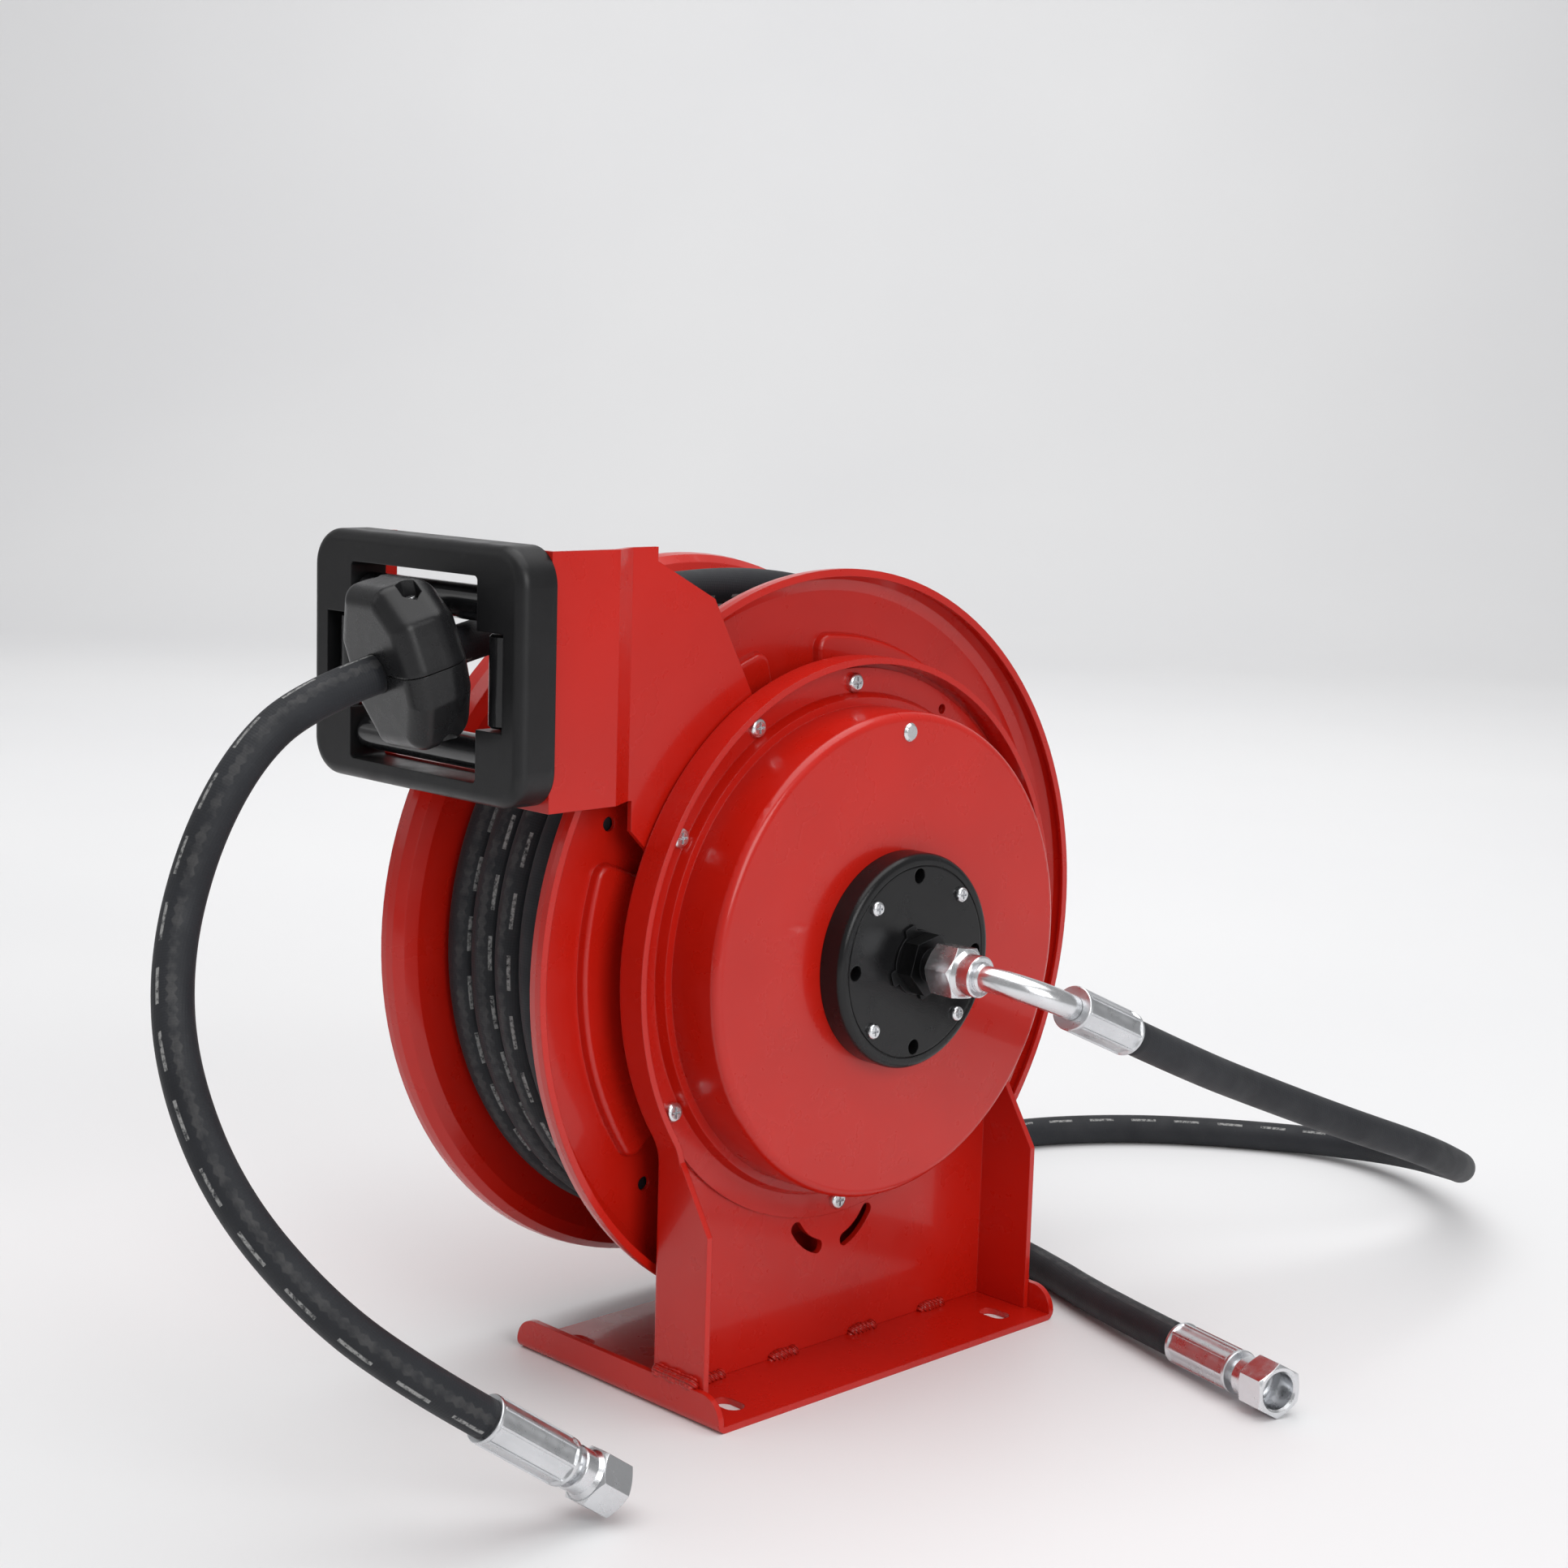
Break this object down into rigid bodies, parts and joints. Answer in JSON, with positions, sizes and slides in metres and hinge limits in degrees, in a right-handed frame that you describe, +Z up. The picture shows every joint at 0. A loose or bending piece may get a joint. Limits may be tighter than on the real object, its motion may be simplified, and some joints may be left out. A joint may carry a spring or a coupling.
{
  "type": "hose reel",
  "caption": "Spring-rewind hose reel on a pedestal arm, with roller guide, ball stop, a wound hose and an inlet hose, each ending in a swivel nut.",
  "frame": {"origin": "centre of the base's four-slot bolt pattern, on the underside of the base", "axes": "+Z up from the floor, +X along the reel axis towards the spring case and inlet, -Y towards the roller guide and hose outlet"},
  "size_m": [0.3652, 0.7972, 0.3773],
  "materials": {
    "red_paint": "gloss powder coat",
    "black_plastic": "satin",
    "roller_plastic": "gloss",
    "zinc_steel": "bright zinc plate",
    "black_steel": "black oxide",
    "plain_steel": "turned",
    "spring_steel": "oiled",
    "bearing_steel": "polished",
    "brass": "turned",
    "hose_rubber": "matt cloth-wrap",
    "seal_rubber": "matt"
  },
  "bodies": {
    "frame": {"base_plate": "red_paint", "arm_plate": "red_paint", "weld_beads": "red_paint", "spring_case": "red_paint", "case_screws": "zinc_steel", "spring_anchor_rivet": "zinc_steel", "power_spring": "spring_steel", "bearing_outer_race": "bearing_steel", "bearing_housing": "red_paint", "housing_screws": "zinc_steel", "pawl_pin": "zinc_steel", "pawl_spring": "spring_steel", "bearing_cover": "black_plastic", "cover_screws": "zinc_steel", "shaft_bush": "brass", "union_body": "black_steel", "union_seals": "seal_rubber", "lock_washer": "black_steel", "inlet_swivel_nut": "zinc_steel", "inlet_tube": "zinc_steel", "inlet_ferrule": "zinc_steel", "inlet_end_ferrule": "zinc_steel", "outlet_ferrule": "zinc_steel", "inlet_hose": "hose_rubber", "outlet_hose": "hose_rubber", "feed_hose": "hose_rubber", "guide_bracket": "red_paint", "guide_screws": "zinc_steel", "guide_frame": "black_plastic", "roller_pins": "zinc_steel", "ball_stop_upper": "black_plastic", "ball_stop_lower": "black_plastic", "ball_stop_bolts": "zinc_steel", "ball_stop_nuts": "zinc_steel"},
    "drum": {"left_flange": "red_paint", "right_flange": "red_paint", "drum_core": "red_paint", "drum_hub": "plain_steel", "drive_key": "plain_steel", "main_shaft": "plain_steel", "shaft_circlip": "spring_steel", "ratchet_wheel": "plain_steel", "hub_screws_right": "zinc_steel", "hub_screws_left": "zinc_steel", "hub_cap": "black_plastic", "hub_nipple": "brass", "hose_tail": "hose_rubber", "wound_hose": "hose_rubber", "spring_arbor": "plain_steel", "bearing_inner_race": "bearing_steel"},
    "pawl": {"pawl": "plain_steel"},
    "ball_set": {"bearing_balls": "bearing_steel"},
    "roller_bottom": {"roller_bottom": "roller_plastic"},
    "roller_top": {"roller_top": "roller_plastic"},
    "roller_left": {"roller_left": "roller_plastic"},
    "roller_right": {"roller_right": "roller_plastic"},
    "inlet_end_nut": {"inlet_end_nut": "zinc_steel"},
    "outlet_nut": {"outlet_nut": "zinc_steel"}
  },
  "joints": [
    {"name": "drum_spin", "type": "hinge", "parent": "frame", "child": "drum", "pos_m": [0, 0, 0.192], "axis": [1, 0, 0], "continuous": true},
    {"name": "ball_set_spin", "type": "hinge", "parent": "frame", "child": "ball_set", "pos_m": [0, 0, 0.192], "axis": [1, 0, 0], "continuous": true},
    {"name": "pawl_swing", "type": "hinge", "parent": "frame", "child": "pawl", "pos_m": [0.0066, -0.08579, 0.198], "axis": [1, 0, 0], "range_deg": [0, 14]},
    {"name": "roller_bottom_spin", "type": "hinge", "parent": "frame", "child": "roller_bottom", "pos_m": [-0.04, -0.1855, 0.291], "axis": [1, 0, 0], "continuous": true},
    {"name": "roller_top_spin", "type": "hinge", "parent": "frame", "child": "roller_top", "pos_m": [-0.04, -0.1855, 0.352], "axis": [1, 0, 0], "continuous": true},
    {"name": "roller_left_spin", "type": "hinge", "parent": "frame", "child": "roller_left", "pos_m": [-0.091, -0.1855, 0.322], "axis": [0, 0, 1], "continuous": true},
    {"name": "roller_right_spin", "type": "hinge", "parent": "frame", "child": "roller_right", "pos_m": [0.011, -0.1855, 0.322], "axis": [0, 0, 1], "continuous": true},
    {"name": "inlet_nut_spin", "type": "hinge", "parent": "frame", "child": "inlet_end_nut", "pos_m": [0.19197, 0.0954, 0.01214], "axis": [0.9631, -0.268, 0.0242], "continuous": true},
    {"name": "outlet_nut_spin", "type": "hinge", "parent": "frame", "child": "outlet_nut", "pos_m": [0.09521, -0.2155, 0.0246], "axis": [0.1534, 0.7978, -0.583], "continuous": true}
  ],
  "couplings": [
    {"joint": "ball_set_spin", "follows": "drum_spin", "ratio": 0.417}
  ]
}
